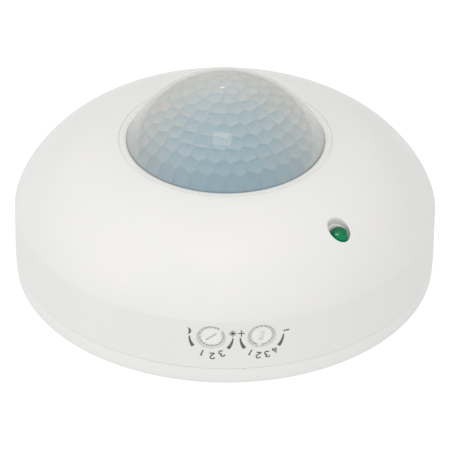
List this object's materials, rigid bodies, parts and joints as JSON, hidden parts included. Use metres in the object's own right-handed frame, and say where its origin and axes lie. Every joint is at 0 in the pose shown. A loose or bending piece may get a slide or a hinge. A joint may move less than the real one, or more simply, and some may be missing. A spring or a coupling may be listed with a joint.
{
  "type": "ceiling motion sensor",
  "caption": "Round ceiling motion sensor: shallow domed cover on a twist-off base, faceted infrared lens dome, two trimmer knobs in the skirt and a status lamp in a bore.",
  "frame": {"origin": "middle of the flat mounting face, on the ceiling side of the base", "axes": "+Z out of the mounting face towards the lens dome, -Y towards the front, where the two trimmer knobs are, +X to the right seen from the front"},
  "size_m": [0.1156, 0.1156, 0.0562],
  "materials": {
    "cover_plastic": "satin moulded white ABS",
    "base_plastic": "fine-grain moulded white ABS",
    "inner_plastic": "plain moulded white ABS",
    "bezel_plastic": "satin moulded white ABS",
    "lens_polyethylene": "milky translucent polyethylene with moulded lenslets inside",
    "knob_plastic": "satin white, serrated rim",
    "grommet_rubber": "matt grey rubber",
    "seal_foam": "dark closed-cell foam",
    "board_laminate": "green solder mask on glass-epoxy laminate",
    "screw_steel": "zinc-plated steel",
    "clamp_brass": "plain brass",
    "sensor_can": "nickel-plated can",
    "sensor_filter": "dark silicon filter window",
    "photocell_face": "clear-coated cell",
    "lamp_epoxy": "green tinted epoxy",
    "relay_case": "blue moulded case",
    "film_capacitor_case": "yellow moulded case",
    "capacitor_sleeve": "dark shrink sleeve",
    "epoxy_package": "black moulded epoxy",
    "varistor_coating": "blue dipped epoxy",
    "resistor_coating": "green-grey cement coat",
    "trimmer_case": "blue moulded case",
    "trimmer_rotor_plastic": "natural nylon",
    "terminal_plastic": "natural polyamide"
  },
  "bodies": {
    "base": {"base_plate": "base_plastic", "cable_grommet": "grommet_rubber"},
    "seal": {"dust_seal_ring": "seal_foam"},
    "head": {"cover_shell": "cover_plastic", "lens_bezel": "bezel_plastic", "lens_dome": "lens_polyethylene", "lens_retainer": "inner_plastic", "back_plate": "inner_plastic", "head_screw_1": "screw_steel", "head_screw_2": "screw_steel", "head_screw_3": "screw_steel", "circuit_board": "board_laminate", "pir_spacer": "inner_plastic", "pir_sensor": "sensor_can", "pir_window": "sensor_filter", "photocell": "photocell_face", "led_spacer": "inner_plastic", "status_led": "lamp_epoxy", "power_relay": "relay_case", "film_capacitor": "film_capacitor_case", "reservoir_capacitor": "capacitor_sleeve", "timing_capacitor": "capacitor_sleeve", "bridge_rectifier": "epoxy_package", "surge_varistor": "varistor_coating", "fuse_resistor": "resistor_coating", "control_ic": "epoxy_package", "voltage_regulator": "epoxy_package", "lux_trimmer": "trimmer_case", "time_trimmer": "trimmer_case", "terminal_block": "terminal_plastic"},
    "lux_dial": {"lux_knob": "knob_plastic", "lux_trimmer_rotor": "trimmer_rotor_plastic"},
    "time_dial": {"time_knob": "knob_plastic", "time_trimmer_rotor": "trimmer_rotor_plastic"},
    "pole_screw_1": {"terminal_screw_1": "screw_steel"},
    "pole_clamp_1": {"clamp_cage_1": "clamp_brass"},
    "pole_screw_2": {"terminal_screw_2": "screw_steel"},
    "pole_clamp_2": {"clamp_cage_2": "clamp_brass"},
    "pole_screw_3": {"terminal_screw_3": "screw_steel"},
    "pole_clamp_3": {"clamp_cage_3": "clamp_brass"}
  },
  "joints": [
    {"name": "head_twist", "type": "hinge", "parent": "base", "child": "seal", "pos_m": [0, 0, 0], "axis": [0, 0, 1], "range_deg": [-20, 0]},
    {"name": "head_lift", "type": "slide", "parent": "seal", "child": "head", "axis": [0, 0, 1], "range_m": [0, 0.04]},
    {"name": "lux_knob_turn", "type": "hinge", "parent": "head", "child": "lux_dial", "pos_m": [-0.00649, -0.05693, 0.0144], "axis": [-0.1132, -0.9936, 0], "range_deg": [-258.5, 1.5]},
    {"name": "time_knob_turn", "type": "hinge", "parent": "head", "child": "time_dial", "pos_m": [0.00649, -0.05693, 0.0144], "axis": [0.1132, -0.9936, 0], "range_deg": [-120, 140]},
    {"name": "pole_screw_1_turn", "type": "hinge", "parent": "head", "child": "pole_screw_1", "pos_m": [-0.00508, 0.0174, 0.0062], "axis": [0, 0, -1], "range_deg": [0, 1080]},
    {"name": "pole_clamp_1_rise", "type": "slide", "parent": "head", "child": "pole_clamp_1", "axis": [0, 0, 1], "range_m": [0, 0.0018]},
    {"name": "pole_screw_2_turn", "type": "hinge", "parent": "head", "child": "pole_screw_2", "pos_m": [0, 0.0174, 0.0062], "axis": [0, 0, -1], "range_deg": [0, 1080]},
    {"name": "pole_clamp_2_rise", "type": "slide", "parent": "head", "child": "pole_clamp_2", "axis": [0, 0, 1], "range_m": [0, 0.0018]},
    {"name": "pole_screw_3_turn", "type": "hinge", "parent": "head", "child": "pole_screw_3", "pos_m": [0.00508, 0.0174, 0.0062], "axis": [0, 0, -1], "range_deg": [0, 1080]},
    {"name": "pole_clamp_3_rise", "type": "slide", "parent": "head", "child": "pole_clamp_3", "axis": [0, 0, 1], "range_m": [0, 0.0018]}
  ],
  "couplings": [
    {"joint": "pole_screw_1_turn", "follows": "pole_clamp_1_rise", "rad_per_m": 10471},
    {"joint": "pole_screw_2_turn", "follows": "pole_clamp_2_rise", "rad_per_m": 10471},
    {"joint": "pole_screw_3_turn", "follows": "pole_clamp_3_rise", "rad_per_m": 10471}
  ]
}
